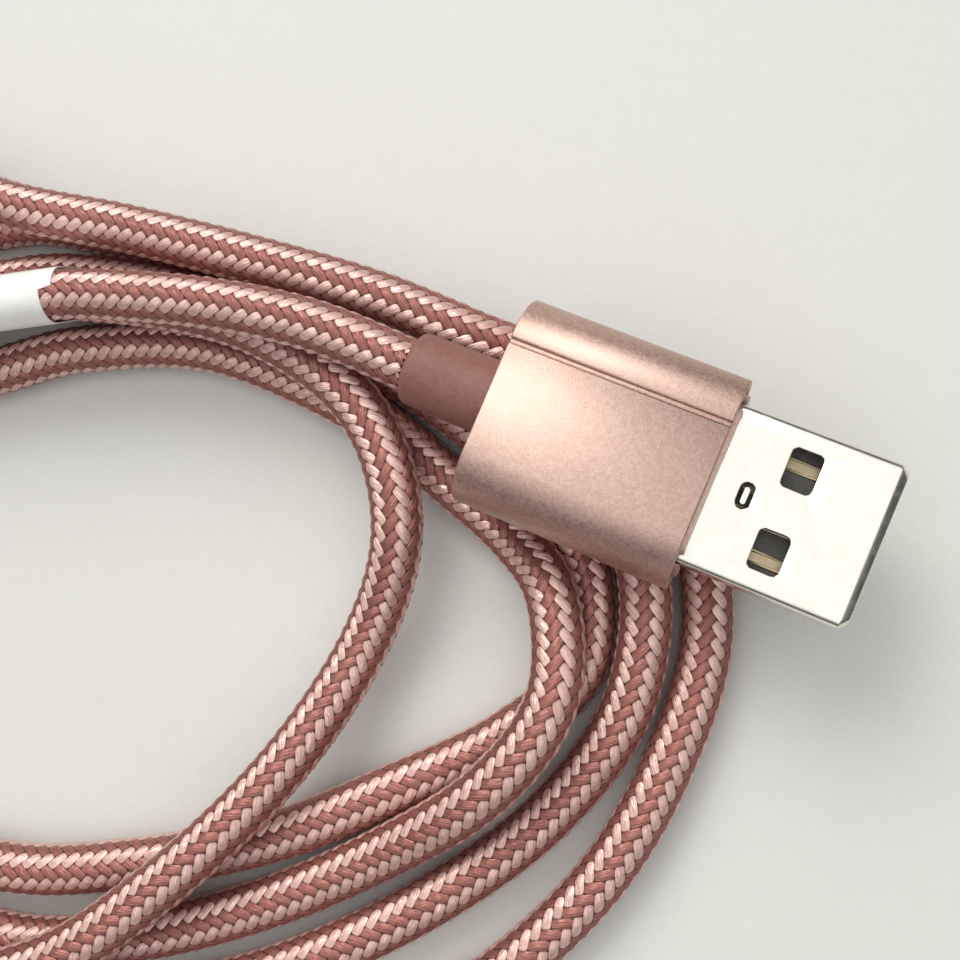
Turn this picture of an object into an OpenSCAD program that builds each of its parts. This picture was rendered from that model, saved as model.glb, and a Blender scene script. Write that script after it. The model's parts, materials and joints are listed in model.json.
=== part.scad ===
// USB-A to USB-C charging cable with a braided cord, lying in loose turns on a table.
// X points out of the USB-A plug's mouth, Z is up and the table is Z = 0.

/* [USB-A plug] */
// Width of the plug's metal shell
a_shell_w = 12; // [11.5:0.1:12.5]
// Thickness of the plug's metal shell
a_shell_t = 4.5; // [4.2:0.1:4.8]
// Length of shell that stands out of the housing
a_shell_len = 11.8; // [9.8:0.1:14.2]
// Width of the aluminium housing
a_sleeve_w = 16; // [15.2:0.1:20]
// Thickness of the aluminium housing
a_sleeve_t = 7.4; // [7:0.1:9]
// Length of the aluminium housing
a_sleeve_len = 16.7; // [15.5:0.1:22]
// How far the inner mould stands out in front of the housing
a_bezel = 0.3; // [0.1:0.1:2]
// Length of the strain relief behind the housing
a_relief_len = 7; // [4:0.5:14]
// Diameter of the strain relief
a_relief_d = 5.8; // [5.2:0.1:5.9]

/* [USB-C plug] */
// Width of the plug's metal shell
c_shell_w = 8.25; // [8:0.05:8.5]
// Thickness of the plug's metal shell
c_shell_t = 2.4; // [2.3:0.05:2.6]
// Length of shell that stands out of the housing
c_shell_len = 6.65; // [5.6:0.05:8]
// Width of the aluminium housing
c_sleeve_w = 11.6; // [11:0.1:14]
// Thickness of the aluminium housing
c_sleeve_t = 6.4; // [6.2:0.1:8]
// Length of the aluminium housing
c_sleeve_len = 17.7; // [16.5:0.1:22]
// How far the inner mould stands out in front of the housing
c_bezel = 0.25; // [0.1:0.05:2]
// Length of the strain relief behind the housing
c_relief_len = 7.4; // [4:0.1:14]
// Diameter of the strain relief
c_relief_d = 5; // [4.9:0.1:5.1]

/* [Cord] */
// Diameter of the braided cord
cord_d = 4.2; // [3.5:0.1:4.3]
// Width of the paper band round two strands
band_w = 8; // [4:0.5:14]

/* [Fits] */
// Gap round a piece that sits in a pocket
fit_gap = 0.05; // [0.03:0.01:0.12]
// Gap round a contact in its slot
contact_gap = 0.02; // [0.01:0.01:0.05]
// Wall of the aluminium housings
sleeve_wall = 0.6; // [0.5:0.05:0.8]
// Back wall of the aluminium housings
sleeve_back = 1.2; // [0.8:0.1:2]

/* [Hidden] */
// Small overlap that lets a cut run past a face
eps = 0.5;
fine = 64;

// Metal sheet and chamfers
a_shell_wall = 0.3;
a_shell_corner = 0.45;
a_lip_len = 0.6;
a_lip_in_w = 0.45;
a_lip_in_t = 0.35;
a_shell_back = 7;
c_shell_wall = 0.25;
c_shell_back = 3.5;
c_mouth_chamfer = 0.12;
sleeve_chamfer = 0.25;
relief_round = 1.2;
relief_end_wall = 0.15;
flange_len = 1;
groove_inset = 0.3;
groove_w = 0.35;
groove_depth = 0.25;

// Windows in the USB-A shell, where the socket's springs catch
window_x = 5.2;
window_y = 3;
window_len = 2.2;
window_w = 2.9;
window_corner = 0.4;
oval_x = 2.3;
oval_len = 1;
oval_w = 1.9;

// USB-A insulator and contacts: the two outer ones reach further forward
a_inner_w = a_shell_w - 2 * a_shell_wall;
a_inner_t = a_shell_t - 2 * a_shell_wall;
tongue_back = 3;
tongue_recess = 0.8;
block_back = a_shell_back + 0.5;
a_contact_w = 1;
a_contact_t = 0.25;
a_contact_proud = 0.1;
a_contact_y = [-3.5, -1, 1, 3.5];
a_contact_setback = [2.6, 3.6, 3.6, 2.6];
a_contact_tail = 9.5;

// USB-A wires, cable end and clamp
wire_d = 0.9;
wire_sides = 12;
a_wire_z = a_contact_proud + wire_d / 2 + contact_gap;
a_wire_front = -block_back - 0.4;
a_cable_end = -12.2;
a_wire_end_y = [-0.95, -0.48, 0.48, 0.95];
a_wire_end_z = [0.3, -0.65, -0.65, 0.3];
wire_colors = ["firebrick", "ivory", "seagreen", "dimgray"];
clamp_len = 2.4;
clamp_wall = 0.3;
clamp_d = cord_d + 2 * fit_gap + 2 * clamp_wall;

// USB-C insulator, contacts and latches
c_inner_w = c_shell_w - 2 * c_shell_wall;
c_inner_t = c_shell_t - 2 * c_shell_wall;
c_insulator_back = 3.2;
c_recess = 0.3;
c_slot_w = 6.7;
c_slot_t = 0.86;
c_pitch = 0.5;
c_positions = [1, 4, 6, 7, 9, 12];
c_contact_w = 0.25;
c_contact_t = 0.2;
c_contact_front = c_shell_len - 1.2;
c_contact_back = 4.9;
c_latch_t = 0.18;
c_latch_h = 0.7;

// USB-C circuit board, wires and cable end
pcb_w = c_inner_w - 0.35;
pcb_t = 0.8;
pcb_front = -c_insulator_back - 0.1;
pcb_back = -9;
resistor = [1, 0.5, 0.35];
resistor_place = [-6.6, 2.2];
c_wire_d = 0.8;
c_wire_y = [-2.4, -0.8, 0.8, 2.4];
c_wire_front = -7.8;
c_cable_end = -12.4;
c_wire_end_y = [-0.85, -0.42, 0.42, 0.85];
c_wire_end_z = [0.3, -0.6, -0.6, 0.3];

// The band round two strands: where it is and where the strands cross its middle
band_place = [-10.6, 10.7, 0];
band_turn = 208;
band_sheet = 0.15;
band_gap = 0.15;
band_strands = [[0, 9.6], [-1.4, 5.5]];

// The cord's route. Each pass is laid by hand and each left-hand turn is worked out between passes.
c_axis_z = c_sleeve_t / 2;
lead = [[23.5, 18, 10], [13.5, 18, 10], [1.5, 15.5, 10], [-11, 10.5, 9.6]];
passes = [
    [[4.5, -41, 6.2], [13.5, -36, 6.3], [20, -26.5, 6.4], [25, -14.5, 5.2], [27, -2.5, 4],
     [26, 7, 6.2], [19.5, 14, 6.4], [8.5, 16.5, 6], [-4, 14.5, 5.9], [-15, 10, 5.2]],
    [[7.5, -37.5, 2.1], [18, -32.5, 2.1], [27, -25.5, 2.1], [34.5, -17.5, 3.2], [40.5, -9, 6],
     [42.5, -1, 6.4], [39.5, 6, 5.2], [34.5, 9.2, 2.8], [27, 11.6, 2.1], [17.5, 14, 2.1],
     [4, 14, 2.1], [-7, 9.8, 2.1], [-14, 5, 2.1]],
    [[5, -32.5, 2.1], [15.5, -27.5, 2.1], [25.5, -20.5, 2.1], [33.5, -12.5, 2.1], [40, -5, 2.1],
     [43.2, 2.5, 2.1], [39.5, 10.5, 2.1], [31, 15.2, 3.2], [18, 18.1, 2.2], [5, 18.1, 2.1],
     [-7, 16.3, 2.1], [-17.5, 12, 2.1]],
    [[10.5, -43, 2.1], [21.5, -36.5, 2.1], [31.5, -28.3, 2.1], [39.5, -19, 2.1],
     [45.3, -9, 2.1], [47.6, 1.5, 3.2], [44.3, 11.5, 3.9], [36, 17.4, 2.4], [27, 20.5, 2.1],
     [17, 22.1, 2.1], [5, 22, 2.1], [-8, 20.2, 2.1], [-20.5, 16.5, 2.1]],
    [[12.5, -48, 2.1], [25.5, -41.5, 2.1], [36.5, -33, 2.1], [45, -24, 2.1], [50.3, -13, 2.1],
     [52, -2, 2.1], [50.7, 9, 2.1], [44.2, 18.7, 2.1], [34.5, 22.5, 3.9], [26, 22.5, 6],
     [17, 22.6, 6.4], [6, 21.7, 6.4], [-5, 20.4, 6.4], [-18, 18.5, 6.4]]
];
tail = [[-29.5, 20.3, 4], [-41, 21.5, 2.1], [-50, 19, 2.3], [-53.5, 12.5, c_axis_z],
        [-53.5, 6, c_axis_z]];
turn_reach = [38.5, 33.3, 27.5, 37.5, 41.5];
turn_height = [6.7, 2.1, 2.1, 2.1, 2.1];
turn_axis = [cos(23.5), sin(23.5), 0];
turn_steps = 5;
cord_sides = 8;

function last(list) = list[len(list) - 1];

// The points of one left-hand turn: half an ellipse from point a to point b.
function half_turn(a, b, reach, height) = [
    for (i = [1 : turn_steps - 1])
        let (
            t = i / turn_steps,
            flat = (a + b) / 2 + (a - b) / 2 * cos(180 * t) - turn_axis * reach * sin(180 * t),
            z = a[2] * pow(1 - t, 2) + 2 * height * t * (1 - t) + b[2] * t * t
        ) [flat[0], flat[1], z]
];

function turns_from(k, start) = k >= len(passes) ? [] : concat(
    half_turn(start, passes[k][0], turn_reach[k], turn_height[k]),
    passes[k],
    turns_from(k + 1, last(passes[k]))
);

route = concat(lead, turns_from(0, last(lead)), tail);

function unit(v) = v / norm(v);
function heading(path, i) = unit(path[min(i + 1, len(path) - 1)] - path[max(i - 1, 0)]);

// One ring of points round point i of a path, with a flat side down.
function ring(path, i, d, sides) =
    let (along = heading(path, i), side = unit(cross([0, 0, 1], along)),
         up = cross(along, side))
    [for (k = [0 : sides - 1])
        let (a = 360 * (k + 0.5) / sides)
        path[i] + d / 2 * (side * cos(a) + up * sin(a))];

// Places: X = 0 is where a plug's shell leaves its housing.

module at_a() {
    translate(route[0]) translate([a_bezel + a_sleeve_len + a_relief_len, 0, 0]) children();
}

module at_c() {
    translate(last(route)) rotate([0, 0, -90])
        translate([c_bezel + c_sleeve_len + c_relief_len, 0, 0]) children();
}

// Shapes along X.

// Box from x0 to x1, centred in Y and Z.
module block(x0, x1, w, t) {
    translate([x0, -w / 2, -t / 2]) cube([x1 - x0, w, t]);
}

module rod(x0, x1, d) {
    translate([x0, 0, 0]) rotate([0, 90, 0]) cylinder(h = x1 - x0, d = d, $fn = fine);
}

// Bar with fully rounded sides.
module pill(x0, x1, w, t) {
    block(x0, x1, w - t, t);
    for (s = [-1, 1]) translate([0, s * (w - t) / 2, 0]) rod(x0, x1, t);
}

// Bar with fully rounded sides and a chamfer at each end.
module chamfered_pill(x0, x1, w, t, c) {
    r = t / 2;
    half = w / 2 - r;
    l = x1 - x0;
    rotate([90, 0, 0]) linear_extrude(2 * half, center = true) polygon([
        [x0, -r + c], [x0 + c, -r], [x1 - c, -r], [x1, -r + c],
        [x1, r - c], [x1 - c, r], [x0 + c, r], [x0, r - c]]);
    for (s = [-1, 1]) translate([x0, s * half, 0]) rotate([0, 90, 0])
        rotate_extrude($fn = fine)
            polygon([[0, 0], [r - c, 0], [r, c], [r, l - c], [r - c, l], [0, l]]);
}

// Bar with four rounded edges.
module round_box(x0, x1, w, t, r, facets = fine) {
    block(x0, x1, w - 2 * r, t);
    block(x0, x1, w, t - 2 * r);
    for (sy = [-1, 1], sz = [-1, 1])
        translate([x0, sy * (w / 2 - r), sz * (t / 2 - r)]) rotate([0, 90, 0])
            cylinder(h = x1 - x0, r = r, $fn = facets);
}

// The lip's solid: narrows from a rounded section of w by t to a smaller one at x1.
module narrowing(x0, x1, w, t, r) {
    slice = 0.01;
    hull() {
        round_box(x0, x0 + slice, w, t, r, 16);
        round_box(x1 - slice, x1, w - 2 * a_lip_in_w, t - 2 * a_lip_in_t, r, 16);
    }
}

// Upright hole with rounded corners, len along X and w along Y.
module window(x, y, len, w, r) {
    translate([x, y, -a_shell_t]) {
        translate([-len / 2 + r, -w / 2, 0]) cube([len - 2 * r, w, 2 * a_shell_t]);
        translate([-len / 2, -w / 2 + r, 0]) cube([len, w - 2 * r, 2 * a_shell_t]);
        for (sx = [-1, 1], sy = [-1, 1])
            translate([sx * (len / 2 - r), sy * (w / 2 - r), 0])
                cylinder(h = 2 * a_shell_t, r = r, $fn = 32);
    }
}

// Tube swept along a path.
module tube(path, d, sides) {
    n = len(path);
    points = [for (i = [0 : n - 1]) each ring(path, i, d, sides)];
    walls = [for (i = [0 : n - 2], k = [0 : sides - 1])
        let (next = (k + 1) % sides, a = i * sides, b = a + sides)
        [a + k, b + k, b + next, a + next]];
    start_face = [for (k = [0 : sides - 1]) k];
    end_face = [for (k = [0 : sides - 1]) n * sides - 1 - k];
    polyhedron(points, concat(walls, [start_face, end_face]), convexity = 12);
}

// Pieces that both plugs have.

module housing(front, len, w, t, back_hole) {
    back = front - len;
    difference() {
        chamfered_pill(back, front, w, t, sleeve_chamfer);
        pill(back + sleeve_back, front + eps, w - 2 * sleeve_wall, t - 2 * sleeve_wall);
        rod(back - eps, back + sleeve_back + eps, back_hole);
        groove(back - eps, front + eps, w, t);
    }
}

// Fine line along the top of a housing, near its rounded side.
module groove(x0, x1, w, t) {
    y = w / 2 - t / 2 - groove_inset;
    translate([x0, y - groove_w / 2, t / 2 - groove_depth])
        cube([x1 - x0, groove_w, groove_depth + eps]);
}

// Sleeve round the cord, with a rounded end and a flat flange inside the housing.
module strain_relief(x_wall, len, d, flange_w, flange_t) {
    bore = cord_d + 2 * fit_gap;
    r = d / 2;
    r_end = bore / 2 + relief_end_wall;
    inside = x_wall + sleeve_back;
    difference() {
        union() {
            translate([x_wall - len, 0, 0]) rotate([0, 90, 0]) rotate_extrude($fn = fine)
                polygon(concat(
                    [[0, 0]],
                    [for (a = [0 : 15 : 90]) [r - (r - r_end) * (1 - sin(a)),
                                              relief_round * (1 - cos(a))]],
                    [[r, len + sleeve_back + eps], [0, len + sleeve_back + eps]]));
            pill(inside, inside + flange_len, flange_w, flange_t);
        }
        rod(x_wall - len - eps, inside + flange_len + eps, bore);
    }
}

module cable_end(x0, x1) {
    rod(x0, x1, cord_d);
}

module cable_clamp(x1) {
    difference() {
        rod(x1 - clamp_len, x1, clamp_d);
        rod(x1 - clamp_len - eps, x1 + eps, cord_d + 2 * fit_gap);
    }
}

// USB-A plug.

a_mould_w = a_sleeve_w - 2 * sleeve_wall - 2 * fit_gap;
a_mould_t = a_sleeve_t - 2 * sleeve_wall - 2 * fit_gap;
a_back_wall = -a_bezel - a_sleeve_len;
a_mould_back = a_back_wall + sleeve_back + flange_len + fit_gap;

module usb_a_shell() {
    lip_x = a_shell_len - a_lip_len;
    color("silver") at_a() difference() {
        union() {
            round_box(-a_shell_back, lip_x, a_shell_w, a_shell_t, a_shell_corner);
            narrowing(lip_x - 0.01, a_shell_len, a_shell_w, a_shell_t, a_shell_corner);
        }
        block(-a_shell_back - eps, lip_x, a_inner_w, a_inner_t);
        narrowing(lip_x - 0.02, a_shell_len + 0.01, a_inner_w, a_inner_t,
            a_shell_corner - a_shell_wall);
        for (s = [-1, 1]) window(window_x, s * window_y, window_len, window_w, window_corner);
        window(oval_x, 0, oval_len, oval_w, oval_len / 2 - 0.01);
    }
}

module a_contact_slot(i, gap) {
    front = a_shell_len - a_contact_setback[i] + gap;
    translate([-a_contact_tail - gap, a_contact_y[i] - a_contact_w / 2 - gap,
               a_contact_proud - a_contact_t - gap])
        cube([front + a_contact_tail + gap, a_contact_w + 2 * gap, a_contact_t + 2 * gap]);
}

module usb_a_tongue() {
    t = a_inner_t / 2 - fit_gap;
    color("dimgray") at_a() difference() {
        translate([0, 0, -t / 2])
            block(-tongue_back, a_shell_len - tongue_recess, a_inner_w - 2 * fit_gap, t);
        for (i = [0 : 3]) a_contact_slot(i, contact_gap);
    }
}

module usb_a_rear_block() {
    color("gray") at_a() difference() {
        block(-block_back, -tongue_back - contact_gap, a_inner_w - 2 * fit_gap,
            a_inner_t - 2 * fit_gap);
        for (i = [0 : 3]) a_contact_slot(i, contact_gap);
    }
}

module usb_a_contact(i) {
    color("gold") at_a() a_contact_slot(i, 0);
}

module usb_a_inner_mould() {
    clamp_back = a_cable_end - clamp_len;
    color("rosybrown") at_a() difference() {
        pill(a_mould_back, 0, a_mould_w, a_mould_t);
        block(-block_back - fit_gap, eps, a_shell_w + 2 * fit_gap, a_shell_t + 2 * fit_gap);
        block(a_cable_end - fit_gap, -a_shell_back, 2 * a_contact_y[3] + 2 * wire_d, a_inner_t);
        rod(clamp_back - fit_gap, a_cable_end, clamp_d + 2 * fit_gap);
        rod(a_mould_back - eps, a_cable_end, cord_d + 2 * fit_gap);
    }
}

module usb_a_sleeve() {
    color("lightpink") at_a() housing(-a_bezel, a_sleeve_len, a_sleeve_w, a_sleeve_t,
        a_relief_d + 2 * fit_gap);
}

module usb_a_strain_relief() {
    color("rosybrown") at_a() strain_relief(a_back_wall, a_relief_len, a_relief_d,
        a_mould_w, a_mould_t);
}

module usb_a_inner_cable() {
    color("pink") at_a() cable_end(a_back_wall - a_relief_len, a_cable_end);
}

module usb_a_cable_clamp() {
    color("lightgray") at_a() cable_clamp(a_cable_end);
}

module usb_a_wire(i) {
    start = [a_wire_front, a_contact_y[i], a_wire_z];
    bend = [-a_contact_tail, a_contact_y[i], a_wire_z];
    end = [a_cable_end + wire_d / 2, a_wire_end_y[i], a_wire_end_z[i]];
    color(wire_colors[i]) at_a() tube([end, bend, start], wire_d, wire_sides);
}

// USB-C plug.

c_mould_w = c_sleeve_w - 2 * sleeve_wall - 2 * fit_gap;
c_mould_t = c_sleeve_t - 2 * sleeve_wall - 2 * fit_gap;
c_back_wall = -c_bezel - c_sleeve_len;
c_wire_z = pcb_t / 2 + c_wire_d / 2 + contact_gap;

module usb_c_shell() {
    color("silver") at_c() difference() {
        chamfered_pill(-c_shell_back, c_shell_len, c_shell_w, c_shell_t, c_mouth_chamfer);
        pill(-c_shell_back - eps, c_shell_len + eps, c_inner_w, c_inner_t);
    }
}

// Row is 1 for the contacts above the slot and -1 for those below it.
module c_contact_slot(i, row, gap) {
    y = c_pitch * (c_positions[i] - 6.5);
    z = row * (c_slot_t / 2 + c_contact_t / 2);
    translate([0, y, z])
        block(-c_contact_back - gap, c_contact_front + gap, c_contact_w + 2 * gap,
            c_contact_t + 2 * gap);
}

module c_latch_slot(side, gap) {
    translate([0, side * (c_slot_w / 2 + c_latch_t / 2 + contact_gap), 0])
        block(-c_insulator_back, c_contact_front + gap, c_latch_t + 2 * gap,
            c_latch_h + 2 * gap);
}

module usb_c_insulator() {
    color("black") at_c() difference() {
        pill(-c_insulator_back, c_shell_len - c_recess, c_inner_w - 2 * fit_gap,
            c_inner_t - 2 * fit_gap);
        block(0, c_shell_len + eps, c_slot_w, c_slot_t);
        for (i = [0 : 5], row = [-1, 1]) c_contact_slot(i, row, contact_gap);
        for (side = [-1, 1]) c_latch_slot(side, contact_gap);
    }
}

module usb_c_contact(i, row) {
    color("gold") at_c() c_contact_slot(i, row, 0);
}

module usb_c_latch(side) {
    color("lightgray") at_c() c_latch_slot(side, 0);
}

module usb_c_pcb() {
    color("darkgreen") at_c() block(pcb_back, pcb_front, pcb_w, pcb_t);
}

module usb_c_resistor() {
    color("black") at_c()
        translate([resistor_place[0], resistor_place[1], pcb_t / 2 + resistor[2] / 2])
            cube(resistor, center = true);
}

module usb_c_inner_mould() {
    color("rosybrown") at_c() difference() {
        pill(c_cable_end, 0, c_mould_w, c_mould_t);
        pill(-c_shell_back - fit_gap, eps, c_shell_w + 2 * fit_gap, c_shell_t + 2 * fit_gap);
        block(c_cable_end - eps, -c_shell_back, pcb_w + 2 * fit_gap,
            2 * c_wire_z + c_wire_d + 2 * fit_gap);
    }
}

module usb_c_sleeve() {
    color("lightpink") at_c() housing(-c_bezel, c_sleeve_len, c_sleeve_w, c_sleeve_t,
        c_relief_d + 2 * fit_gap);
}

module usb_c_strain_relief() {
    color("rosybrown") at_c() strain_relief(c_back_wall, c_relief_len, c_relief_d,
        c_mould_w, c_mould_t);
}

module usb_c_inner_cable() {
    color("pink") at_c() cable_end(c_back_wall - c_relief_len, c_cable_end);
}

module usb_c_cable_clamp() {
    color("lightgray") at_c() cable_clamp(c_cable_end);
}

module usb_c_wire(i) {
    start = [c_wire_front, c_wire_y[i], c_wire_z];
    bend = [pcb_back - 0.3, c_wire_y[i], c_wire_z];
    end = [c_cable_end + c_wire_d / 2, c_wire_end_y[i], c_wire_end_z[i]];
    color(wire_colors[i]) at_c() tube([end, bend, start], c_wire_d, wire_sides);
}

// The cord and its band.

module cord() {
    color("pink") tube(route, cord_d, cord_sides);
}

module band_outline(grow) {
    hull() for (p = band_strands) translate(p) circle(r = cord_d / 2 + grow, $fn = 48);
}

module tie_band() {
    color("white") translate(band_place) rotate([0, 0, band_turn]) rotate([90, 0, 90])
        linear_extrude(band_w, center = true) difference() {
            band_outline(band_gap + band_sheet);
            band_outline(band_gap);
        }
}

usb_a_shell();
usb_a_tongue();
usb_a_rear_block();
usb_a_contact(0);  // usb_a_contact_1
usb_a_contact(1);  // usb_a_contact_2
usb_a_contact(2);  // usb_a_contact_3
usb_a_contact(3);  // usb_a_contact_4
usb_a_inner_mould();
usb_a_sleeve();
usb_a_strain_relief();
usb_a_inner_cable();
usb_a_cable_clamp();
usb_a_wire(0);  // usb_a_wire_1
usb_a_wire(1);  // usb_a_wire_2
usb_a_wire(2);  // usb_a_wire_3
usb_a_wire(3);  // usb_a_wire_4
usb_c_shell();
usb_c_insulator();
usb_c_contact(0, 1);  // usb_c_contact_a1
usb_c_contact(1, 1);  // usb_c_contact_a2
usb_c_contact(2, 1);  // usb_c_contact_a3
usb_c_contact(3, 1);  // usb_c_contact_a4
usb_c_contact(4, 1);  // usb_c_contact_a5
usb_c_contact(5, 1);  // usb_c_contact_a6
usb_c_contact(0, -1);  // usb_c_contact_b1
usb_c_contact(1, -1);  // usb_c_contact_b2
usb_c_contact(2, -1);  // usb_c_contact_b3
usb_c_contact(3, -1);  // usb_c_contact_b4
usb_c_contact(4, -1);  // usb_c_contact_b5
usb_c_contact(5, -1);  // usb_c_contact_b6
usb_c_latch(1);  // usb_c_latch_left
usb_c_latch(-1);  // usb_c_latch_right
usb_c_pcb();
usb_c_resistor();
usb_c_inner_mould();
usb_c_sleeve();
usb_c_strain_relief();
usb_c_inner_cable();
usb_c_cable_clamp();
usb_c_wire(0);  // usb_c_wire_1
usb_c_wire(1);  // usb_c_wire_2
usb_c_wire(2);  // usb_c_wire_3
usb_c_wire(3);  // usb_c_wire_4
cord();
tie_band();
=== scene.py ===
import json
import math
import bpy
import numpy as np
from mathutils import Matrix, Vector


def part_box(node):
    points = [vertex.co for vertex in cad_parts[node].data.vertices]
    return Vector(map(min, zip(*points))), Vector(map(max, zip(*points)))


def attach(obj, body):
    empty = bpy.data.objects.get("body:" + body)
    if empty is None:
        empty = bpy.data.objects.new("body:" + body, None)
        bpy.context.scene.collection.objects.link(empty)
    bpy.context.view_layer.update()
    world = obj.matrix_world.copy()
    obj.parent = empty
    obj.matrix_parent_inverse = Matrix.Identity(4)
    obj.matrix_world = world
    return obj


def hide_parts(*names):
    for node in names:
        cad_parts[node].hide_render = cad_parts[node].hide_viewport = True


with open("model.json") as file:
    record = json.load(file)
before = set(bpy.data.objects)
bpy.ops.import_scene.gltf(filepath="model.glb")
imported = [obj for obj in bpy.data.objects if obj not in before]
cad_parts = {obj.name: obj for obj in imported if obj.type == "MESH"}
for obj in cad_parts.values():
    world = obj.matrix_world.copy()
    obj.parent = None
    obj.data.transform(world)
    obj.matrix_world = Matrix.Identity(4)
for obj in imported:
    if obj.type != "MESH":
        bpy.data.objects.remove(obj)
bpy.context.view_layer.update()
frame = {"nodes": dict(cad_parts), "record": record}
nodes = frame["nodes"]
mm = 0.001

# The shared helpers for shader nodes


def newMaterial(name, color, roughness, metallic=0.0):
    mat = bpy.data.materials.new(name)
    mat.use_nodes = True
    shader = mat.node_tree.nodes["Principled BSDF"]
    shader.inputs["Base Color"].default_value = (*color, 1)
    shader.inputs["Roughness"].default_value = roughness
    shader.inputs["Metallic"].default_value = metallic
    return mat, mat.node_tree, shader


def plug(tree, value, socket):
    # a number or colour is typed in, anything else is a link
    if isinstance(value, (int, float)):
        socket.default_value = value
    elif isinstance(value, tuple):
        socket.default_value = (*value, 1)
    else:
        tree.links.new(value, socket)


def calc(tree, operation, a, b=None, c=None, clamp=False):
    node = tree.nodes.new("ShaderNodeMath")
    node.operation = operation
    node.use_clamp = clamp
    for socket, value in zip(node.inputs, (a, b, c)):
        if value is not None:
            plug(tree, value, socket)
    return node.outputs[0]


def ramp(tree, value, low, high, toLow=0.0, toHigh=1.0):
    node = tree.nodes.new("ShaderNodeMapRange")
    node.interpolation_type = "SMOOTHSTEP"
    for socket, number in zip(node.inputs[:5], (value, low, high, toLow, toHigh)):
        plug(tree, number, socket)
    return node.outputs["Result"]


def blendColor(tree, factor, a, b):
    node = tree.nodes.new("ShaderNodeMix")
    node.data_type = "RGBA"
    plug(tree, factor, node.inputs[0])
    plug(tree, a, node.inputs[6])
    plug(tree, b, node.inputs[7])
    return node.outputs[2]


def choose(tree, factor, a, b):
    # a where factor is 0 and b where it is 1
    return calc(tree, "MULTIPLY_ADD", factor, calc(tree, "SUBTRACT", b, a), a)


def speckle(tree, vector, scale, detail=2.0):
    node = tree.nodes.new("ShaderNodeTexNoise")
    plug(tree, scale, node.inputs["Scale"])
    node.inputs["Detail"].default_value = detail
    tree.links.new(vector, node.inputs["Vector"])
    return node.outputs[0]


def bump(tree, height, strength, distance, shader):
    node = tree.nodes.new("ShaderNodeBump")
    node.inputs["Strength"].default_value = strength
    node.inputs["Distance"].default_value = distance * mm
    tree.links.new(height, node.inputs["Height"])
    tree.links.new(node.outputs[0], shader.inputs["Normal"])


def objectPlace(tree):
    return tree.nodes.new("ShaderNodeTexCoord").outputs["Object"]


def newGroup(name, numbersIn, valuesOut):
    group = bpy.data.node_groups.new(name, "ShaderNodeTree")
    group.interface.new_socket(name="Place", in_out="INPUT", socket_type="NodeSocketVector")
    for label, value in numbersIn:
        socket = group.interface.new_socket(name=label, in_out="INPUT",
                                            socket_type="NodeSocketFloat")
        socket.default_value = value
    for label in valuesOut:
        group.interface.new_socket(name=label, in_out="OUTPUT", socket_type="NodeSocketFloat")
    start = group.nodes.new("NodeGroupInput")
    end = group.nodes.new("NodeGroupOutput")
    return group, start.outputs, end.inputs


def makeGrainGroup():
    # fine grain: Height for the bump, Tone for the colour and the roughness
    group, given, result = newGroup("fineGrain", [("Size mm", 0.2), ("Contrast", 1.0)],
                                    ["Height", "Tone"])
    scale = calc(group, "DIVIDE", 1 / mm, given["Size mm"])
    fine = speckle(group, given["Place"], scale, 3)
    broad = speckle(group, given["Place"], calc(group, "MULTIPLY", scale, 0.28), 1)
    mixed = calc(group, "MULTIPLY_ADD", broad, 0.35, calc(group, "MULTIPLY", fine, 0.65))
    centred = calc(group, "MULTIPLY", calc(group, "SUBTRACT", mixed, 0.5), given["Contrast"])
    tone = calc(group, "MULTIPLY_ADD", centred, 3.2, 0.5, clamp=True)
    group.links.new(fine, result["Height"])
    group.links.new(tone, result["Tone"])
    return group


def makeHandlingGroup():
    # what use leaves: Smudge is a greasy film in patches, Scuff is thin worn lines
    group, given, result = newGroup("handling", [("Patch mm", 4.0), ("Amount", 0.5)],
                                    ["Smudge", "Scuff"])
    scale = calc(group, "DIVIDE", 1 / mm, given["Patch mm"])
    patch = ramp(group, speckle(group, given["Place"], scale, 4), 0.42, 0.68)
    thin = speckle(group, given["Place"], calc(group, "MULTIPLY", scale, 3.5), 5)
    line = calc(group, "ABSOLUTE", calc(group, "SUBTRACT", thin, 0.5))
    worn = ramp(group, line, 0.0, 0.012, 1.0, 0.0)
    worn = calc(group, "MULTIPLY", worn, patch)
    group.links.new(calc(group, "MULTIPLY", patch, given["Amount"]), result["Smudge"])
    group.links.new(calc(group, "MULTIPLY", worn, given["Amount"]), result["Scuff"])
    return group


grainGroup = makeGrainGroup()
handlingGroup = makeHandlingGroup()


def addGroup(tree, group, **numbers):
    node = tree.nodes.new("ShaderNodeGroup")
    node.node_tree = group
    tree.links.new(objectPlace(tree), node.inputs["Place"])
    for label, value in numbers.items():
        node.inputs[label.replace("_", " ")].default_value = value
    return node.outputs


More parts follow.
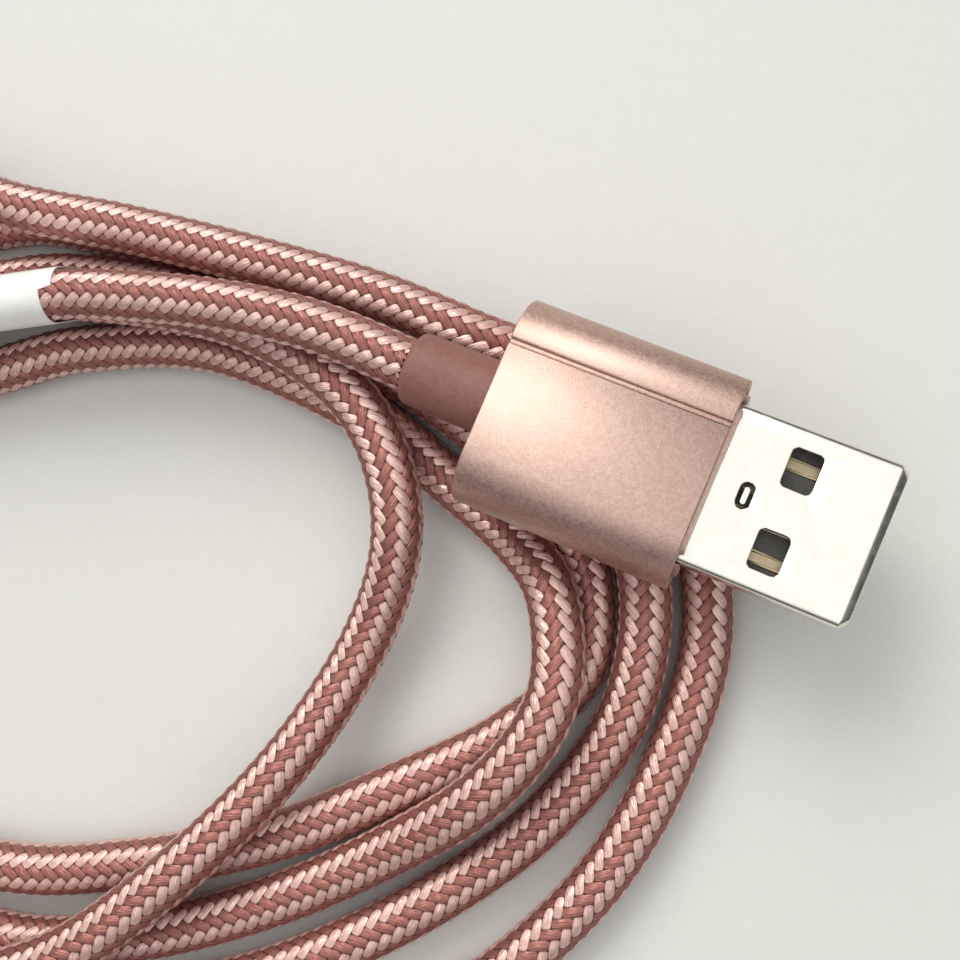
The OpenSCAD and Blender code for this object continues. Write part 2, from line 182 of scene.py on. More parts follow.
def finishMaterial(name, color, shade, roughness, metallic, grain, contrast, depth, patch, amount,
                   coat=0.0):
    # one finish: grain changes tone and roughness, handling adds film and scuffs
    mat, tree, shader = newMaterial(name, color, roughness, metallic)
    fine = addGroup(tree, grainGroup, Size_mm=grain, Contrast=contrast)
    used = addGroup(tree, handlingGroup, Patch_mm=patch, Amount=amount)
    toned = blendColor(tree, fine["Tone"], shade, color)
    toned = blendColor(tree, calc(tree, "MULTIPLY", used["Smudge"], 0.25), toned, shade)
    tree.links.new(toned, shader.inputs["Base Color"])
    rough = calc(tree, "MULTIPLY_ADD", fine["Tone"], 0.12, roughness - 0.06)
    rough = calc(tree, "MULTIPLY_ADD", used["Smudge"], 0.14, rough)
    rough = calc(tree, "MULTIPLY_ADD", used["Scuff"], 0.2, rough, clamp=True)
    tree.links.new(rough, shader.inputs["Roughness"])
    shader.inputs["Coat Weight"].default_value = coat
    bump(tree, fine["Height"], 0.5, depth, shader)
    return mat


print("shader groups ready")

# The cord: a 24-carrier braid laid along the route

cord = {
    "diameter": 4.2,  # millimetres
    "length": 1220,
    "columns": 12,  # columns of slanting floats round the cord
    "stitch": 1.2,  # from one float to the next along a column
    "groove": 0.18,  # depth between the yarns
    "turn": -37.5,  # degrees round the cord to its first column
}
yarn = {
    # the first two colours are one yarn painted lit and painted shaded: a painted sheen on the
    # yarns that run one way, painted shade on those that run the other; the second is also the
    # tone the threads and floats darken towards
    "sheenLitYarn": (1.0, 0.68, 0.60),
    "dark": (0.37, 0.150, 0.123),
    # painted shade in the crevices where the yarns dive under each other
    "gap": (0.07, 0.022, 0.017),
    "roughness": 0.33,
    "silk": 0.55,  # how much of the shine takes the yarn's colour
    "filaments": 11,  # fine threads across one yarn
    "threadShade": 0.30,  # how far the threads darken the yarn
    "floatShade": 0.22,  # how far one float may be darker than the next
    "relief": 0.16,  # millimetres of bump
}

# The cord's points in millimetres: the lead from the USB-A plug, the passes and the tail
lead = [(23.5, 18, 10), (13.5, 18, 10), (1.5, 15.5, 10), (-11, 10.5, 9.6)]
passes = [
    [(4.5, -41, 6.2), (13.5, -36, 6.3), (20, -26.5, 6.4), (25, -14.5, 5.2), (27, -2.5, 4),
     (26, 7, 6.2), (19.5, 14, 6.4), (8.5, 16.5, 6), (-4, 14.5, 5.9), (-15, 10, 5.2)],
    [(7.5, -37.5, 2.1), (18, -32.5, 2.1), (27, -25.5, 2.1), (34.5, -17.5, 3.2), (40.5, -9, 6),
     (42.5, -1, 6.4), (39.5, 6, 5.2), (34.5, 9.2, 2.8), (27, 11.6, 2.1), (17.5, 14, 2.1),
     (4, 14, 2.1), (-7, 9.8, 2.1), (-14, 5, 2.1)],
    [(5, -32.5, 2.1), (15.5, -27.5, 2.1), (25.5, -20.5, 2.1), (33.5, -12.5, 2.1), (40, -5, 2.1),
     (43.2, 2.5, 2.1), (39.5, 10.5, 2.1), (31, 15.2, 3.2), (18, 18.1, 2.2), (5, 18.1, 2.1),
     (-7, 16.3, 2.1), (-17.5, 12, 2.1)],
    [(10.5, -43, 2.1), (21.5, -36.5, 2.1), (31.5, -28.3, 2.1), (39.5, -19, 2.1),
     (45.3, -9, 2.1), (47.6, 1.5, 3.2), (44.3, 11.5, 3.9), (36, 17.4, 2.4), (27, 20.5, 2.1),
     (17, 22.1, 2.1), (5, 22, 2.1), (-8, 20.2, 2.1), (-20.5, 16.5, 2.1)],
    [(12.5, -48, 2.1), (25.5, -41.5, 2.1), (36.5, -33, 2.1), (45, -24, 2.1), (50.3, -13, 2.1),
     (52, -2, 2.1), (50.7, 9, 2.1), (44.2, 18.7, 2.1), (34.5, 22.5, 3.9), (26, 22.5, 6),
     (17, 22.6, 6.4), (6, 21.7, 6.4), (-5, 20.4, 6.4), (-18, 18.5, 6.4)],
]
tail = [(-29.5, 20.3, 4), (-41, 21.5, 2.1), (-50, 19, 2.3), (-53.5, 12.5, 3.2), (-53.5, 6, 3.2)]
turnReach = [38.5, 33.3, 27.5, 37.5, 41.5]  # how far each left-hand turn goes out
turnHeight = [6.7, 2.1, 2.1, 2.1, 2.1]
turnAxis = math.radians(23.5)
turnSteps = 5
splineSteps = 24  # between two points of the route
lineGap = 0.25  # millimetres between two points of the finished line


def halfTurn(a, b, reach, height):
    a, b = np.array(a, float), np.array(b, float)
    points = []
    for i in range(1, turnSteps):
        t = i / turnSteps
        p = (a + b) / 2 + (a - b) / 2 * math.cos(math.pi * t)
        out = reach * math.sin(math.pi * t)
        p[0] -= math.cos(turnAxis) * out
        p[1] -= math.sin(turnAxis) * out
        p[2] = a[2] * (1 - t) ** 2 + 2 * height * t * (1 - t) + b[2] * t * t
        points.append(p)
    return points


def cordRoute():
    points = list(lead)
    start = lead[-1]
    for run, reach, height in zip(passes, turnReach, turnHeight):
        points += halfTurn(start, run[0], reach, height) + run
        start = run[-1]
    return np.array(points + tail, float) * mm


def smoothLine(points, steps):
    line = []
    last = len(points) - 1
    for i in range(last):
        p0, p1 = points[max(i - 1, 0)], points[i]
        p2, p3 = points[i + 1], points[min(i + 2, last)]
        for j in range(steps):
            t = j / steps
            line.append(0.5 * (2 * p1 + (p2 - p0) * t + (2 * p0 - 5 * p1 + 4 * p2 - p3) * t ** 2
                               + (3 * p1 - p0 - 3 * p2 + p3) * t ** 3))
    return np.array(line + [points[-1]])


def evenLine(points, gap):
    reach = np.concatenate([[0], np.cumsum(np.linalg.norm(np.diff(points, axis=0), axis=1))])
    count = int(round(reach[-1] / gap)) + 1
    at = np.linspace(0, reach[-1], count)
    line = np.stack([np.interp(at, reach, points[:, k]) for k in range(3)], 1)
    return line, at


def yarnHeight(i, j):
    # height of the braid at each half step: 0 in a groove, 1 on a float's crown
    wholeI, wholeJ = i == np.floor(i), j == np.floor(j)
    here = np.mod(np.floor(i) - np.floor(j), 4)
    height = np.full(i.shape, 0.9)
    alongI = wholeI & ~wholeJ
    alongJ = wholeJ & ~wholeI
    height[alongI] = np.choose(here[alongI].astype(int), [0.25, 1.0, 0.25, 0.0])
    height[alongJ] = np.choose(here[alongJ].astype(int), [0.0, 0.25, 1.0, 0.25])
    height[wholeI & wholeJ] = 0.1
    return height


def braidMesh(name, line, at, diameter, columns, stitch, groove, turn):
    sides = columns * 2
    steps = sides * 2
    rows = int(at[-1] / (stitch / 4))
    along = np.gradient(line, at, axis=0)
    along /= np.linalg.norm(along, axis=1)[:, None]
    side = np.cross((0, 0, 1), along)
    side /= np.linalg.norm(side, axis=1)[:, None]
    up = np.cross(along, side)
    row = np.arange(rows)[:, None]
    step = 2 * np.arange(sides)[None] + row % 2
    place = np.linspace(0, at[-1], rows)

    def pick(values):
        return np.stack([np.interp(place, at, values[:, k]) for k in range(3)], -1)[:, None]

    angle = 2 * np.pi * step / steps + math.radians(turn)
    height = yarnHeight((step + row) / 4, (row - step) / 4)
    radius = diameter / 2 - groove * (1 - height)
    out = pick(up) * np.cos(angle)[..., None] + pick(side) * np.sin(angle)[..., None]
    verts = pick(line) + out * radius[..., None]
    # each diamond face spans three rows
    low = np.arange(rows - 2)[:, None]
    col = np.arange(sides)[None]
    right = np.where(low % 2 == 0, col, col + 1) % sides
    left = np.where(low % 2 == 0, col - 1, col) % sides
    corners = [low * sides + col, (low + 1) * sides + left, (low + 2) * sides + col,
               (low + 1) * sides + right]
    faces = np.stack(np.broadcast_arrays(*corners), -1).reshape(-1, 4)
    start = 2 * col + low % 2
    shifts = ((0, 0), (-1, 1), (0, 2), (1, 1))
    uv = np.stack([np.stack([(start + p + low + r) / 4, (low + r - start - p) / 4], -1)
                   for p, r in shifts], 2)
    mesh = bpy.data.meshes.new(name)
    mesh.from_pydata(verts.reshape(-1, 3).tolist(), [], faces.tolist())
    layer = mesh.uv_layers.new(name="braid")
    layer.data.foreach_set("uv", uv.reshape(-1))
    mesh.polygons.foreach_set("use_smooth", [True] * len(faces))
    mesh.update()
    return mesh


def braidMaterial(sheenLitYarn, dark, gap, roughness, silk, filaments, threadShade, floatShade,
                  relief):
    mat, tree, shader = newMaterial("braidedYarn", sheenLitYarn, roughness, silk)
    uv = tree.nodes.new("ShaderNodeUVMap")
    uv.uv_map = "braid"
    split = tree.nodes.new("ShaderNodeSeparateXYZ")
    tree.links.new(uv.outputs[0], split.inputs[0])
    i, j = split.outputs[0], split.outputs[1]
    cellI, cellJ = calc(tree, "FLOOR", i), calc(tree, "FLOOR", j)
    partI, partJ = calc(tree, "FRACT", i), calc(tree, "FRACT", j)
    lap = calc(tree, "FLOORED_MODULO", calc(tree, "SUBTRACT", cellI, cellJ), 4)
    backward = calc(tree, "GREATER_THAN", lap, 1.5)  # 1 on the yarns that run the other way, which are painted in shade
    across = choose(tree, backward, partJ, partI)
    forwardAt = calc(tree, "ADD", lap, partI)
    backwardAt = calc(tree, "ADD", calc(tree, "SUBTRACT", 3, lap), partJ)
    along = calc(tree, "MULTIPLY", choose(tree, backward, forwardAt, backwardAt), 0.5)
    strand = choose(tree, backward, cellJ, cellI)
    # a float is a leaf: it narrows towards both ends, and outside the leaf the gap colour is
    # painted shade
    fromMiddle = calc(tree, "ABSOLUTE", calc(tree, "MULTIPLY_ADD", along, 2, -1))
    fromCrown = calc(tree, "ABSOLUTE", calc(tree, "MULTIPLY_ADD", across, 2, -1))
    edge = calc(tree, "POWER", fromCrown, 2)
    leaf = calc(tree, "ADD", calc(tree, "POWER", fromCrown, 4),
                calc(tree, "POWER", fromMiddle, 4))
    shade = ramp(tree, leaf, 0.5, 1.4)
    # filaments run along the yarn; the odd factors keep two yarns from sharing one pattern
    threads = tree.nodes.new("ShaderNodeCombineXYZ")
    plug(tree, calc(tree, "MULTIPLY", across, filaments), threads.inputs[0])
    plug(tree, calc(tree, "MULTIPLY_ADD", along, 1.3, calc(tree, "MULTIPLY", cellI, 3.7)),
         threads.inputs[1])
    plug(tree, calc(tree, "MULTIPLY_ADD", strand, 5.3, calc(tree, "MULTIPLY", backward, 31)),
         threads.inputs[2])
    filament = ramp(tree, speckle(tree, threads.outputs[0], 1.0, 2), 0.3, 0.7)
    single = tree.nodes.new("ShaderNodeTexWhiteNoise")
    single.noise_dimensions = "2D"
    floatId = tree.nodes.new("ShaderNodeCombineXYZ")
    plug(tree, strand, floatId.inputs[0])
    plug(tree, calc(tree, "MULTIPLY_ADD", backward, 57, calc(tree, "FLOOR", calc(
        tree, "MULTIPLY", choose(tree, backward, cellI, cellJ), 0.5))), floatId.inputs[1])
    tree.links.new(floatId.outputs[0], single.inputs["Vector"])
    # painted sheen and painted shade: yarns running one way take the lit colour, yarns running
    # the other way the shaded one
    color = blendColor(tree, backward, sheenLitYarn, dark)
    color = blendColor(tree, calc(tree, "MULTIPLY", filament, threadShade), color, dark)
    color = blendColor(tree, calc(tree, "MULTIPLY", single.outputs[0], floatShade), color,
                       dark)
    # painted shade: the edges and ends of each float darken to the gap colour
    color = blendColor(tree, shade, color, gap)
    tree.links.new(color, shader.inputs["Base Color"])
    tree.links.new(calc(tree, "MULTIPLY_ADD", filament, 0.16, roughness - 0.08),
                   shader.inputs["Roughness"])
    height = calc(tree, "MULTIPLY_ADD", filament, -0.22, calc(tree, "MULTIPLY", edge, -0.6))
    height = calc(tree, "MULTIPLY_ADD", calc(tree, "POWER", fromMiddle, 2), -0.4, height)
    bump(tree, height, 0.9, relief, shader)
    return mat


def makeCord(diameter, length, columns, stitch, groove, turn):
    line, at = evenLine(smoothLine(cordRoute(), splineSteps), lineGap * mm)
    mesh = braidMesh("braidedCord", line, at, diameter * mm, columns, stitch * mm, groove * mm,
                     turn)
    piece = bpy.data.objects.new("braidedCord", mesh)
    bpy.context.scene.collection.objects.link(piece)
    mesh.materials.append(braidMaterial(**yarn))
    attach(piece, "root")
    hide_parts("cord")
    print("cord laid,", round(at[-1] / mm), "mm, faces", len(mesh.polygons))


makeCord(**cord)

# Modelling steps that the plug pieces share

facing = 0.9  # how nearly a picked face or edge points along its axis


def startPiece(name):
    # call straight after a primitive is added
    piece = bpy.context.object
    piece.name = name
    bpy.ops.object.transform_apply(location=True, rotation=True, scale=True)
    return piece


def clearSelection():
    bpy.ops.object.select_all(action="DESELECT")


def onlyPiece(piece):
    clearSelection()
    piece.select_set(True)
    bpy.context.view_layer.objects.active = piece


def selectNothing(kind):
    bpy.ops.object.mode_set(mode="EDIT")
    bpy.ops.mesh.select_mode(type=kind)
    bpy.ops.mesh.select_all(action="DESELECT")
    bpy.ops.object.mode_set(mode="OBJECT")


def pickFaces(piece, test):
    selectNothing("FACE")
    for face in piece.data.polygons:
        face.select = test(face.center, face.normal)
    bpy.ops.object.mode_set(mode="EDIT")


def pickEdges(piece, test):
    selectNothing("EDGE")
    for edge in piece.data.edges:
        a, b = (piece.data.vertices[v].co for v in edge.vertices)
        edge.select = test((b - a).normalized())
    bpy.ops.object.mode_set(mode="EDIT")


def pickVerts(piece, test):
    selectNothing("VERT")
    for vert in piece.data.vertices:
        vert.select = test(vert.co)
    bpy.ops.object.mode_set(mode="EDIT")


def pillAlongX(name, length, width, thick, sides=98):
    # a bar with fully rounded sides: a cylinder whose two halves are moved apart
    clearSelection()
    bpy.ops.mesh.primitive_cylinder_add(vertices=sides, radius=thick / 2, depth=length,
                                        rotation=(0, math.pi / 2, 0))
    piece = startPiece(name)
    for side in (-1, 1):
        pickVerts(piece, lambda p: p.y * side > 0)
        bpy.ops.transform.translate(value=(0, side * (width - thick) / 2, 0))
    return piece


def cutWith(piece, cutter):
    bpy.ops.object.mode_set(mode="OBJECT")
    change = piece.modifiers.new("cut", "BOOLEAN")
    change.operation = "DIFFERENCE"
    change.solver = "EXACT"
    change.object = cutter
    applyLast(piece)
    bpy.data.objects.remove(cutter)


def applyLast(piece):
    onlyPiece(piece)
    bpy.ops.object.modifier_apply(modifier=piece.modifiers[-1].name)


def softenEdges(piece, width, segments=3, angle=35):
    change = piece.modifiers.new("soft edges", "BEVEL")
    change.width = width
    change.segments = segments
    change.limit_method = "ANGLE"
    change.harden_normals = True
    change.angle_limit = math.radians(angle)
    applyLast(piece)


def putInPlace(piece, middle, turn, angle=32):
    # every piece is shaped along X, then turned and moved; its object ends at the origin
    bpy.ops.object.mode_set(mode="OBJECT")
    onlyPiece(piece)
    piece.location = middle
    piece.rotation_euler = (0, 0, math.radians(turn))
    bpy.ops.object.transform_apply(location=True, rotation=True, scale=True)
    bpy.ops.object.shade_smooth_by_angle(angle=math.radians(angle))


def boxOf(node, turn):
    # the middle and the size of a CAD node, with the size as it is before the turn
    low, high = (Vector(c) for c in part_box(node))
    size = high - low
    if turn:
        size = Vector((size.y, size.x, size.z))
    return (low + high) / 2, size


def finishPiece(piece, node, material):
    piece.data.materials.clear()
    piece.data.materials.append(material)
    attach(piece, "root")
    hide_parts(node)


# The materials of the plugs and the band

finishes = {
    "housing": dict(color=(0.67, 0.485, 0.415), shade=(0.51, 0.335, 0.275), roughness=0.46,
                    metallic=0.97, grain=0.09, contrast=1.4, depth=0.04, patch=7, amount=0.15),
    "plug_shell": dict(color=(0.90, 0.89, 0.80), shade=(0.80, 0.78, 0.68), roughness=0.2,
                       metallic=1.0, grain=0.5, contrast=0.3, depth=0.003, patch=1.2,
                       amount=0.5),
    "strain_relief": dict(color=(0.30, 0.130, 0.100), shade=(0.21, 0.085, 0.065),
                          roughness=0.55, metallic=0.0, grain=0.16, contrast=1.0, depth=0.03,
                          patch=3, amount=0.3),
    "inner_mould": dict(color=(0.66, 0.49, 0.42), shade=(0.46, 0.31, 0.26), roughness=0.38,
                        metallic=0.85, grain=0.11, contrast=1.4, depth=0.04, patch=4,
                        amount=0.3),
    "insulator_grey": dict(color=(0.135, 0.125, 0.105), shade=(0.07, 0.062, 0.05),
                           roughness=0.4, metallic=0.0, grain=0.12, contrast=1.0,
                           depth=0.015, patch=2, amount=0.4),
    "insulator_black": dict(color=(0.022, 0.022, 0.024), shade=(0.01, 0.01, 0.01),
                            roughness=0.45, metallic=0.0, grain=0.12, contrast=1.0,
                            depth=0.012, patch=2, amount=0.4),
    "gold_contact": dict(color=(0.52, 0.43, 0.30), shade=(0.36, 0.28, 0.17), roughness=0.3,
                         metallic=1.0, grain=0.4, contrast=0.6, depth=0.004, patch=1.5,
                         amount=0.5),
    "cable_jacket": dict(color=(0.34, 0.15, 0.14), shade=(0.24, 0.10, 0.09), roughness=0.4,
                         metallic=0.0, grain=0.2, contrast=0.8, depth=0.02, patch=3,
                         amount=0.3),
    "cable_clamp": dict(color=(0.55, 0.54, 0.53), shade=(0.38, 0.37, 0.36), roughness=0.32,
                        metallic=1.0, grain=0.25, contrast=0.9, depth=0.01, patch=2,
                        amount=0.5),
    "latch_steel": dict(color=(0.62, 0.61, 0.60), shade=(0.42, 0.41, 0.40), roughness=0.25,
                        metallic=1.0, grain=0.25, contrast=0.7, depth=0.006, patch=1.5,
                        amount=0.5),
    "wire_red": dict(color=(0.42, 0.02, 0.015), shade=(0.28, 0.012, 0.01), roughness=0.38,
                     metallic=0.0, grain=0.2, contrast=0.8, depth=0.01, patch=2, amount=0.3),
    "wire_white": dict(color=(0.74, 0.72, 0.68), shade=(0.58, 0.56, 0.52), roughness=0.38,
                       metallic=0.0, grain=0.2, contrast=0.8, depth=0.01, patch=2, amount=0.3),
    "wire_green": dict(color=(0.02, 0.24, 0.06), shade=(0.012, 0.15, 0.04), roughness=0.38,
                       metallic=0.0, grain=0.2, contrast=0.8, depth=0.01, patch=2, amount=0.3),
    "wire_black": dict(color=(0.03, 0.03, 0.03), shade=(0.015, 0.015, 0.015), roughness=0.38,
                       metallic=0.0, grain=0.2, contrast=0.8, depth=0.01, patch=2, amount=0.3),
    "circuit_board": dict(color=(0.012, 0.13, 0.045), shade=(0.006, 0.075, 0.025),
                          roughness=0.3, metallic=0.0, grain=0.35, contrast=1.2, depth=0.015,
                          patch=2, amount=0.3, coat=0.4),
    "resistor": dict(color=(0.03, 0.03, 0.032), shade=(0.015, 0.015, 0.015), roughness=0.3,
                     metallic=0.0, grain=0.1, contrast=1.0, depth=0.01, patch=1, amount=0.3,
                     coat=0.3),
    "paper_band": dict(color=(0.96, 0.96, 0.92), shade=(0.88, 0.88, 0.84), roughness=0.4,
                       metallic=0.0, grain=0.3, contrast=0.8, depth=0.02, patch=3, amount=0.3,
                       coat=0.3),
}
looks = {slot: finishMaterial(slot + "Look", **values) for slot, values in finishes.items()}
slotOf = {part["node"]: part["material_slot"] for part in frame["record"]["subparts"]}
for nodeName, slotName in slotOf.items():
    if slotName in looks:
        cadMesh = nodes[nodeName].data
        cadMesh.materials.clear()
        cadMesh.materials.append(looks[slotName])
print("materials made:", len(looks))

# The aluminium housings: a rounded bar with a deep pocket and a fine line along the top

housings = {
    "usb_a_sleeve": {"turn": 0, "wall": 0.6, "back": 1.2, "soft": 0.22},
    "usb_c_sleeve": {"turn": -90, "wall": 0.6, "back": 1.2, "soft": 0.14},
}
groove = {"inset": 0.3, "width": 0.35, "depth": 0.22}


def makeHousing(node, turn, wall, back, soft):
    middle, (length, width, thick) = boxOf(node, turn)
    piece = pillAlongX(node + "_shaped", length, width, thick)
    pickFaces(piece, lambda c, n: n.x > facing)
    bpy.ops.mesh.inset(thickness=wall * mm)
    bpy.ops.mesh.extrude_region_move(
        TRANSFORM_OT_translate={"value": (back * mm - length, 0, 0)})
    bpy.ops.object.mode_set(mode="OBJECT")
    clearSelection()
    bpy.ops.mesh.primitive_cube_add(
        size=1, scale=(length * 1.1, groove["width"] * mm, 2 * groove["depth"] * mm),
        location=(0, (width - thick) / 2 - groove["inset"] * mm, thick / 2))
    cutWith(piece, startPiece("grooveCutter"))
    softenEdges(piece, soft * mm)
    putInPlace(piece, middle, turn)
    finishPiece(piece, node, looks["housing"])


for nodeName, values in housings.items():
    makeHousing(nodeName, **values)
print("housings shaped")

# The metal shell of the USB-A plug: bent sheet with a narrowed mouth and stamped openings

shell = {
    "wall": 0.3,
    "corner": 0.6,
    "lip": 0.6,
    "lipIn": (0.45, 0.35),  # how much the mouth narrows on each side
    "front": 11.8,  # shell in front of the inner mould's rim
    "windowAt": (5.2, 3.0),
    "window": (2.2, 2.9, 0.42),  # length, width, corner
    "ovalAt": (2.3, 0.0),
    "oval": (1.0, 1.9, 0.46),
    "tab": (0.42, 1.25, 0.19, 0.2),  # length, width, corner, thickness
    "tabDrop": 0.16,  # how far the tab's middle lies below the sheet's outside
    "tabSoft": 0.04,
    "soft": 0.09,
    "sharp": 22,  # degrees above which an edge is softened
}


def stamp(place, length, width, corner, height):
    # an upright block with rounded corners, used as a cutter and for the tab
    clearSelection()
    bpy.ops.mesh.primitive_cube_add(size=1, scale=(length * mm, width * mm, height * mm),
                                    location=Vector(place) * mm)
    block = startPiece("stamp")
    pickEdges(block, lambda way: abs(way.z) > facing)
    bpy.ops.mesh.bevel(offset=corner * mm, segments=6, affect="EDGES")
    bpy.ops.object.mode_set(mode="OBJECT")
    return block


def makeShell(wall, corner, lip, lipIn, front, windowAt, window, ovalAt, oval, tab, tabDrop,
              tabSoft, soft, sharp):
    middle, (length, width, thick) = boxOf("usb_a_shell", 0)
    body = length - lip * mm
    clearSelection()
    bpy.ops.mesh.primitive_cube_add(size=1, scale=(body, width, thick),
                                    location=(-lip * mm / 2, 0, 0))
    piece = startPiece("usb_a_shell_shaped")
    pickEdges(piece, lambda way: abs(way.x) > facing)
    bpy.ops.mesh.bevel(offset=corner * mm, segments=8, affect="EDGES")
    pickFaces(piece, lambda c, n: n.x > facing)
    bpy.ops.mesh.extrude_region_move(TRANSFORM_OT_translate={"value": (lip * mm, 0, 0)})
    bpy.ops.transform.resize(value=(1, 1 - 2 * lipIn[0] * mm / width,
                                    1 - 2 * lipIn[1] * mm / thick))
    # the inside: the wall's edge, then back out to full width, then the long pocket
    bpy.ops.mesh.inset(thickness=wall * mm)
    bpy.ops.mesh.extrude_region_move(TRANSFORM_OT_translate={"value": (-lip * mm, 0, 0)})
    inner = (width - 2 * wall * mm, thick - 2 * wall * mm)
    bpy.ops.transform.resize(value=(1, inner[0] / (inner[0] - 2 * lipIn[0] * mm),
                                    inner[1] / (inner[1] - 2 * lipIn[1] * mm)))
    bpy.ops.mesh.extrude_region_move(
        TRANSFORM_OT_translate={"value": (-body + wall * mm, 0, 0)})
    bpy.ops.object.mode_set(mode="OBJECT")
    root = length / mm / 2 - front
    through = thick / mm * 1.2
    for side in (1, -1):
        cutWith(piece, stamp((root + windowAt[0], side * windowAt[1], 0), *window, through))
    cutWith(piece, stamp((root + ovalAt[0], ovalAt[1], 0), *oval, through))
    softenEdges(piece, soft * mm, 4, sharp)
    # a stamped tab stands inside the oval, a little lower than the sheet
    inTab = stamp((root + ovalAt[0], ovalAt[1], thick / mm / 2 - tabDrop), *tab)
    softenEdges(inTab, tabSoft * mm, 2)
    onlyPiece(piece)
    inTab.select_set(True)
    bpy.ops.object.join()
    putInPlace(piece, middle, 0, sharp + 2)
    finishPiece(piece, "usb_a_shell", looks["plug_shell"])


makeShell(**shell)
print("shell stamped")

# The inner moulds: their rim stands out of the housing, with a fine gap round it

rims = {
    "usb_a_inner_mould": {"shellNode": "usb_a_shell", "turn": 0, "roundShell": False,
                          "depth": 7.6, "room": 0.12, "gap": 0.42, "soft": 0.07},
    "usb_c_inner_mould": {"shellNode": "usb_c_shell", "turn": -90, "roundShell": True,
                          "depth": 3.7, "room": 0.05, "gap": 0.35, "soft": 0.06},
}


def makeRim(node, shellNode, turn, roundShell, depth, room, gap, soft):
    middle, (length, width, thick) = boxOf(node, turn)
    shellSize = boxOf(shellNode, turn)[1]
    roomSize = (2 * depth * mm, shellSize.y + 2 * room * mm, shellSize.z + 2 * room * mm)
    piece = pillAlongX(node + "_shaped", length, width - 2 * gap * mm, thick - 2 * gap * mm)
    bpy.ops.object.mode_set(mode="OBJECT")
    if roundShell:
        cutter = pillAlongX("shellRoom", *roomSize)
        bpy.ops.mesh.select_all(action="SELECT")
        bpy.ops.transform.translate(value=(length / 2, 0, 0))
        bpy.ops.object.mode_set(mode="OBJECT")
    else:
        clearSelection()
        bpy.ops.mesh.primitive_cube_add(size=1, location=(length / 2, 0, 0), scale=roomSize)
        cutter = startPiece("shellRoom")
    onlyPiece(piece)
    cutWith(piece, cutter)
    softenEdges(piece, soft * mm)
    putInPlace(piece, middle, turn)
    finishPiece(piece, node, looks["inner_mould"])


for nodeName, values in rims.items():
    makeRim(nodeName, **values)
print("inner moulds shaped")

# The four contacts of the USB-A plug: strips with a channel pressed in

contact = {"count": 4, "rim": 0.16, "channel": 0.13, "step": 0.05, "soft": 0.03}


def makeContacts(count, rim, channel, step, soft):
    for number in range(1, count + 1):
        node = "usb_a_contact_%d" % number
        middle, size = boxOf(node, 0)
        clearSelection()
        bpy.ops.mesh.primitive_cube_add(size=1, scale=size)
        piece = startPiece(node + "_shaped")
        pickFaces(piece, lambda c, n: n.z > facing)
        bpy.ops.mesh.inset(thickness=rim * mm)
        bpy.ops.mesh.extrude_region_move(
            TRANSFORM_OT_translate={"value": (0, 0, -channel * mm)})
        bpy.ops.mesh.inset(thickness=step * mm)
        bpy.ops.object.mode_set(mode="OBJECT")
        softenEdges(piece, soft * mm)
        putInPlace(piece, middle, 0)
        finishPiece(piece, node, looks["gold_contact"])


makeContacts(**contact)
print("contacts pressed")

# The strain reliefs: a tapered sleeve with a rounded end and a bore for the cord

reliefs = {
    "usb_a_strain_relief": {"turn": 0, "diameter": 5.8, "taper": 0.97, "rounding": 0.55,
                            "bore": 4.3, "boreDepth": 2},
    "usb_c_strain_relief": {"turn": -90, "diameter": 5.0, "taper": 0.98, "rounding": 0.2,
                            "bore": 4.3, "boreDepth": 2},
}


def makeRelief(node, turn, diameter, taper, rounding, bore, boreDepth):
    middle, size = boxOf(node, turn)
    clearSelection()
    bpy.ops.mesh.primitive_cylinder_add(vertices=64, radius=diameter * mm / 2, depth=size.x,
                                        rotation=(0, math.pi / 2, 0))
    piece = startPiece(node + "_shaped")
    pickFaces(piece, lambda c, n: n.x < -facing)
    bpy.ops.transform.resize(value=(1, taper, taper))
    bpy.ops.mesh.bevel(offset=rounding * mm, segments=6, affect="EDGES")
    pickFaces(piece, lambda c, n: n.x < -facing and Vector((c.y, c.z)).length < bore * mm / 4)
    rim = diameter * taper / 2 - rounding - bore / 2
    bpy.ops.mesh.inset(thickness=max(rim, 0.02) * mm)
    bpy.ops.mesh.extrude_region_move(
        TRANSFORM_OT_translate={"value": (boreDepth * mm, 0, 0)})
    putInPlace(piece, middle, turn)
    finishPiece(piece, node, looks["strain_relief"])


for nodeName, values in reliefs.items():
    makeRelief(nodeName, **values)
print("strain reliefs shaped")

# The band: a sheet wrapped round two strands, with a folded corner at its right end

band = {
    "place": (-10.6, 10.7, 0),
    "turn": 208,
    "width": 8,
    "strands": ((0, 9.6), (-1.4, 5.5)),
    "gap": 0.02,
    "sheet": 0.15,
    "corner": 1.1,  # how far the folded corner reaches past the sheet's edge
    "cornerFrom": 0.6,  # height above the upper strand's middle where the corner starts
    "soft": 0.04,
}


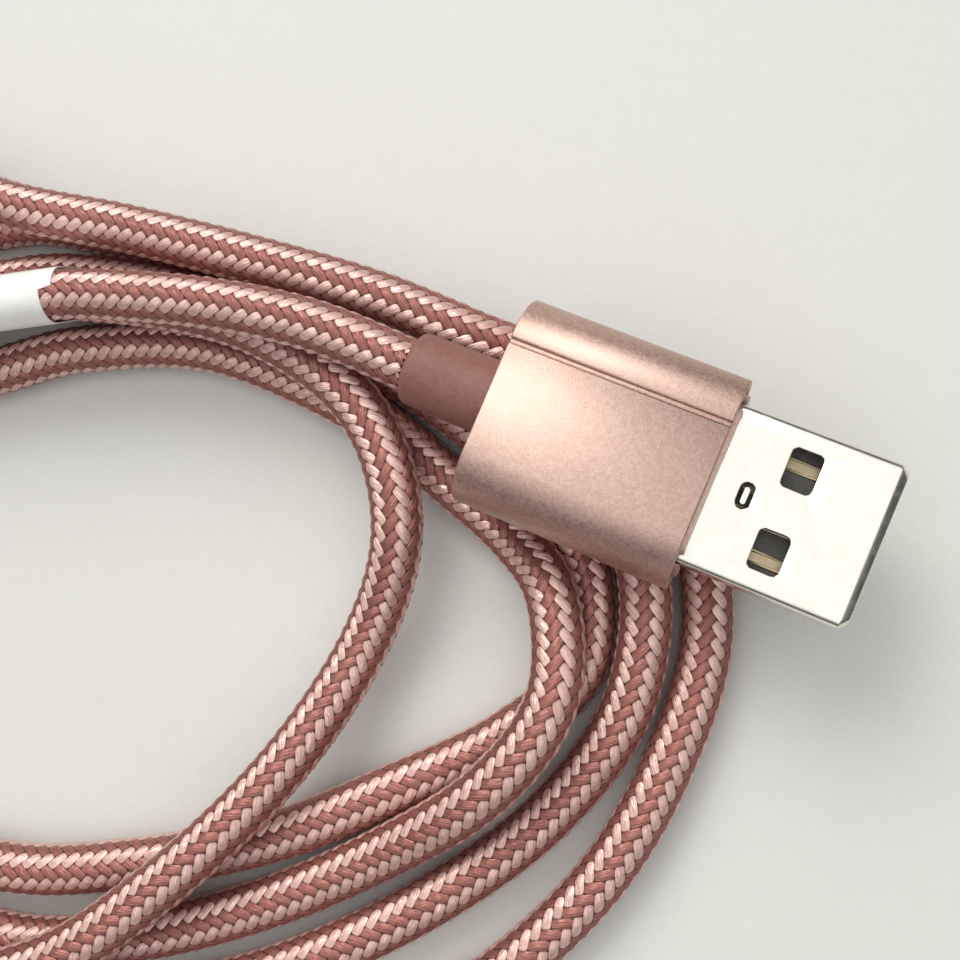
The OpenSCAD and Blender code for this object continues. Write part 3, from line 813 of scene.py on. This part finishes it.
def makeBand(place, turn, width, strands, gap, sheet, corner, cornerFrom, soft):
    (y1, z1), (y2, z2) = strands
    radius = (cord["diameter"] / 2 + gap) * mm
    lean = math.atan2(y1 - y2, z1 - z2)
    clearSelection()
    bpy.ops.mesh.primitive_cylinder_add(vertices=62, radius=radius, depth=width * mm,
                                        end_fill_type="NOTHING",
                                        rotation=(0, math.pi / 2, 0))
    piece = startPiece("tieBand")
    up = Vector((0, math.sin(lean), math.cos(lean)))
    for side, y, z in ((1, y1, z1), (-1, y2, z2)):
        # a half that has moved is out of this reach, so each half moves once
        pickVerts(piece, lambda p: side * (p.dot(up) + 1e-6) > 0
                  and abs(p.y) <= radius * 1.01 and abs(p.z) <= radius * 1.01)
        bpy.ops.transform.translate(value=(0, y * mm, z * mm))
    pickVerts(piece, lambda p: p.x < 0 and p.z > (z1 + cornerFrom) * mm and p.y < y1 * mm)
    bpy.ops.transform.translate(value=(-corner * mm, 0, 0))
    bpy.ops.object.mode_set(mode="OBJECT")
    change = piece.modifiers.new("sheet", "SOLIDIFY")
    change.thickness = sheet * mm
    change.offset = 1
    applyLast(piece)
    softenEdges(piece, soft * mm, 2)
    putInPlace(piece, Vector(place) * mm, turn)
    finishPiece(piece, "tie_band", looks["paper_band"])


makeBand(**band)
print("band wrapped")

# Camera, table and light

camera = {
    "place": (51.44, 8.17, 95.89),  # millimetres
    "turn": (7.49, 10.87, 23.62),  # degrees
    "lens": 45,
}
# places and sizes of the table and the light are in metres
table = {"color": (0.70, 0.70, 0.655), "shade": (0.65, 0.65, 0.605), "size": 3}
windowLight = {"place": (-1.0, 1.0, 1.35), "target": (0.01, 0.0, 0), "size": (1.2, 1.2),
               "power": 24, "color": (1.0, 0.98, 0.95)}
sky = {"above": 1.2, "side": 0.08, "start": 0.35, "full": 0.90, "color": (0.99, 0.99, 1.0)}


def addCamera(place, turn, lens):
    data = bpy.data.cameras.new("camera")
    data.lens = lens
    data.sensor_width = 36
    data.clip_start = 0.005
    data.clip_end = 10
    cam = bpy.data.objects.new("camera", data)
    cam.location = Vector(place) * mm
    cam.rotation_euler = [math.radians(a) for a in turn]
    bpy.context.scene.collection.objects.link(cam)
    bpy.context.scene.camera = cam


def addTable(color, shade, size):
    clearSelection()
    bpy.ops.mesh.primitive_plane_add(size=size, location=(0, 0, -0.02 * mm))
    top = startPiece("table")
    top.data.materials.append(finishMaterial("paleTable", color, shade, 0.55, 0.0, 0.5, 0.5,
                                             0.02, 30, 0.3))


def addWindowLight(place, target, size, power, color):
    data = bpy.data.lights.new("windowLight", "AREA")
    data.shape = "RECTANGLE"
    data.size, data.size_y = size
    data.energy = power
    data.color = color
    light = bpy.data.objects.new("windowLight", data)
    light.location = place
    light.rotation_euler = (Vector(target) - Vector(place)).to_track_quat("-Z", "Y").to_euler()
    bpy.context.scene.collection.objects.link(light)


def addSky(above, side, start, full, color):
    # dark at the horizon, and brighter from start to full as the direction rises
    world = bpy.data.worlds.new("studio")
    world.use_nodes = True
    tree = world.node_tree
    split = tree.nodes.new("ShaderNodeSeparateXYZ")
    tree.links.new(tree.nodes.new("ShaderNodeTexCoord").outputs["Generated"], split.inputs[0])
    strength = ramp(tree, split.outputs[2], start, full, side, above)
    background = tree.nodes["Background"]
    background.inputs[0].default_value = (*color, 1)
    tree.links.new(strength, background.inputs[1])
    bpy.context.scene.world = world


addCamera(**camera)
addTable(**table)
addWindowLight(**windowLight)
addSky(**sky)
bpy.context.scene.view_settings.view_transform = "Standard"
print("camera, table and light placed")
